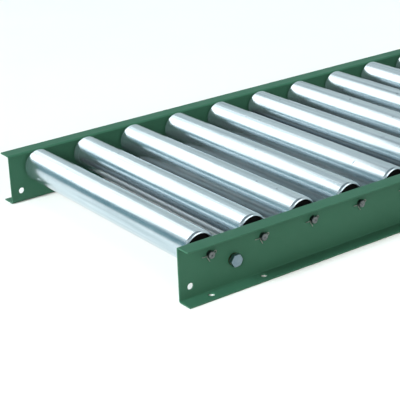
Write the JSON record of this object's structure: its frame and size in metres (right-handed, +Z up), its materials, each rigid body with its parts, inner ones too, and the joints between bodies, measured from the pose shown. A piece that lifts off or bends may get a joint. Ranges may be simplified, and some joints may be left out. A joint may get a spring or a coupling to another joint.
{
  "type": "gravity roller conveyor",
  "caption": "Straight free-running roller conveyor section: steel rollers on fixed axles between two green channel side frames joined by bolted tie pipes.",
  "frame": {"origin": "middle of the section's length and width, at the underside of the lower flanges", "axes": "+X along the conveyor (the direction goods travel), +Y across it to the left-hand side frame, +Z up"},
  "size_m": [1.014, 0.566, 0.0911],
  "materials": {
    "frame_paint": "semi-gloss green",
    "roller_zinc": "bright zinc plating over drawn steel tube",
    "bearing_steel": "pressed steel, oiled",
    "bearing_balls": "polished",
    "axle_steel": "drawn bar, dull",
    "shield_black": "matte black",
    "fastener_zinc": "zinc plated",
    "pin_wire": "dull wire",
    "tie_zinc": "zinc-plated pipe, dulled"
  },
  "bodies": {
    "frame": {"side_frame_left": "frame_paint", "side_frame_right": "frame_paint", "axle_01": "axle_steel", "axle_02": "axle_steel", "axle_03": "axle_steel", "axle_04": "axle_steel", "axle_05": "axle_steel", "axle_06": "axle_steel", "axle_07": "axle_steel", "axle_08": "axle_steel", "axle_09": "axle_steel", "axle_10": "axle_steel", "axle_spacers": "axle_steel", "bearing_cones_left": "bearing_steel", "bearing_cones_right": "bearing_steel", "dust_shields_left": "shield_black", "dust_shields_right": "shield_black", "tie_pipe_front": "tie_zinc", "tie_pipe_middle": "tie_zinc", "tie_pipe_rear": "tie_zinc", "tie_plugs": "bearing_steel", "tie_bolts_left": "fastener_zinc", "tie_bolts_right": "fastener_zinc", "spring_washers_left": "fastener_zinc", "spring_washers_right": "fastener_zinc", "split_pins_left": "pin_wire", "split_pins_right": "pin_wire"},
    "roller_01": {"roller_tube_01": "roller_zinc", "bearing_cups_01": "bearing_steel"},
    "roller_02": {"roller_tube_02": "roller_zinc", "bearing_cups_02": "bearing_steel"},
    "roller_03": {"roller_tube_03": "roller_zinc", "bearing_cups_03": "bearing_steel"},
    "roller_04": {"roller_tube_04": "roller_zinc", "bearing_cups_04": "bearing_steel"},
    "roller_05": {"roller_tube_05": "roller_zinc", "bearing_cups_05": "bearing_steel"},
    "roller_06": {"roller_tube_06": "roller_zinc", "bearing_cups_06": "bearing_steel"},
    "roller_07": {"roller_tube_07": "roller_zinc", "bearing_cups_07": "bearing_steel"},
    "roller_08": {"roller_tube_08": "roller_zinc", "bearing_cups_08": "bearing_steel"},
    "roller_09": {"roller_tube_09": "roller_zinc", "bearing_cups_09": "bearing_steel"},
    "roller_10": {"roller_tube_10": "roller_zinc", "bearing_cups_10": "bearing_steel"},
    "balls_01": {"bearing_balls_01": "bearing_balls"},
    "balls_02": {"bearing_balls_02": "bearing_balls"},
    "balls_03": {"bearing_balls_03": "bearing_balls"},
    "balls_04": {"bearing_balls_04": "bearing_balls"},
    "balls_05": {"bearing_balls_05": "bearing_balls"},
    "balls_06": {"bearing_balls_06": "bearing_balls"},
    "balls_07": {"bearing_balls_07": "bearing_balls"},
    "balls_08": {"bearing_balls_08": "bearing_balls"},
    "balls_09": {"bearing_balls_09": "bearing_balls"},
    "balls_10": {"bearing_balls_10": "bearing_balls"}
  },
  "joints": [
    {"name": "roller_spin_01", "type": "hinge", "parent": "frame", "child": "roller_01", "pos_m": [-0.45, 0, 0.0625], "axis": [0, 1, 0], "continuous": true},
    {"name": "roller_spin_02", "type": "hinge", "parent": "frame", "child": "roller_02", "pos_m": [-0.35, 0, 0.0625], "axis": [0, 1, 0], "continuous": true},
    {"name": "roller_spin_03", "type": "hinge", "parent": "frame", "child": "roller_03", "pos_m": [-0.25, 0, 0.0625], "axis": [0, 1, 0], "continuous": true},
    {"name": "roller_spin_04", "type": "hinge", "parent": "frame", "child": "roller_04", "pos_m": [-0.15, 0, 0.0625], "axis": [0, 1, 0], "continuous": true},
    {"name": "roller_spin_05", "type": "hinge", "parent": "frame", "child": "roller_05", "pos_m": [-0.05, 0, 0.0625], "axis": [0, 1, 0], "continuous": true},
    {"name": "roller_spin_06", "type": "hinge", "parent": "frame", "child": "roller_06", "pos_m": [0.05, 0, 0.0625], "axis": [0, 1, 0], "continuous": true},
    {"name": "roller_spin_07", "type": "hinge", "parent": "frame", "child": "roller_07", "pos_m": [0.15, 0, 0.0625], "axis": [0, 1, 0], "continuous": true},
    {"name": "roller_spin_08", "type": "hinge", "parent": "frame", "child": "roller_08", "pos_m": [0.25, 0, 0.0625], "axis": [0, 1, 0], "continuous": true},
    {"name": "roller_spin_09", "type": "hinge", "parent": "frame", "child": "roller_09", "pos_m": [0.35, 0, 0.0625], "axis": [0, 1, 0], "continuous": true},
    {"name": "roller_spin_10", "type": "hinge", "parent": "frame", "child": "roller_10", "pos_m": [0.45, 0, 0.0625], "axis": [0, 1, 0], "continuous": true},
    {"name": "ball_orbit_01", "type": "hinge", "parent": "frame", "child": "balls_01", "pos_m": [-0.45, 0, 0.0625], "axis": [0, 1, 0], "continuous": true},
    {"name": "ball_orbit_02", "type": "hinge", "parent": "frame", "child": "balls_02", "pos_m": [-0.35, 0, 0.0625], "axis": [0, 1, 0], "continuous": true},
    {"name": "ball_orbit_03", "type": "hinge", "parent": "frame", "child": "balls_03", "pos_m": [-0.25, 0, 0.0625], "axis": [0, 1, 0], "continuous": true},
    {"name": "ball_orbit_04", "type": "hinge", "parent": "frame", "child": "balls_04", "pos_m": [-0.15, 0, 0.0625], "axis": [0, 1, 0], "continuous": true},
    {"name": "ball_orbit_05", "type": "hinge", "parent": "frame", "child": "balls_05", "pos_m": [-0.05, 0, 0.0625], "axis": [0, 1, 0], "continuous": true},
    {"name": "ball_orbit_06", "type": "hinge", "parent": "frame", "child": "balls_06", "pos_m": [0.05, 0, 0.0625], "axis": [0, 1, 0], "continuous": true},
    {"name": "ball_orbit_07", "type": "hinge", "parent": "frame", "child": "balls_07", "pos_m": [0.15, 0, 0.0625], "axis": [0, 1, 0], "continuous": true},
    {"name": "ball_orbit_08", "type": "hinge", "parent": "frame", "child": "balls_08", "pos_m": [0.25, 0, 0.0625], "axis": [0, 1, 0], "continuous": true},
    {"name": "ball_orbit_09", "type": "hinge", "parent": "frame", "child": "balls_09", "pos_m": [0.35, 0, 0.0625], "axis": [0, 1, 0], "continuous": true},
    {"name": "ball_orbit_10", "type": "hinge", "parent": "frame", "child": "balls_10", "pos_m": [0.45, 0, 0.0625], "axis": [0, 1, 0], "continuous": true}
  ],
  "couplings": [
    {"joint": "ball_orbit_01", "follows": "roller_spin_01", "ratio": 0.6176},
    {"joint": "ball_orbit_02", "follows": "roller_spin_02", "ratio": 0.6176},
    {"joint": "ball_orbit_03", "follows": "roller_spin_03", "ratio": 0.6176},
    {"joint": "ball_orbit_04", "follows": "roller_spin_04", "ratio": 0.6176},
    {"joint": "ball_orbit_05", "follows": "roller_spin_05", "ratio": 0.6176},
    {"joint": "ball_orbit_06", "follows": "roller_spin_06", "ratio": 0.6176},
    {"joint": "ball_orbit_07", "follows": "roller_spin_07", "ratio": 0.6176},
    {"joint": "ball_orbit_08", "follows": "roller_spin_08", "ratio": 0.6176},
    {"joint": "ball_orbit_09", "follows": "roller_spin_09", "ratio": 0.6176},
    {"joint": "ball_orbit_10", "follows": "roller_spin_10", "ratio": 0.6176}
  ]
}
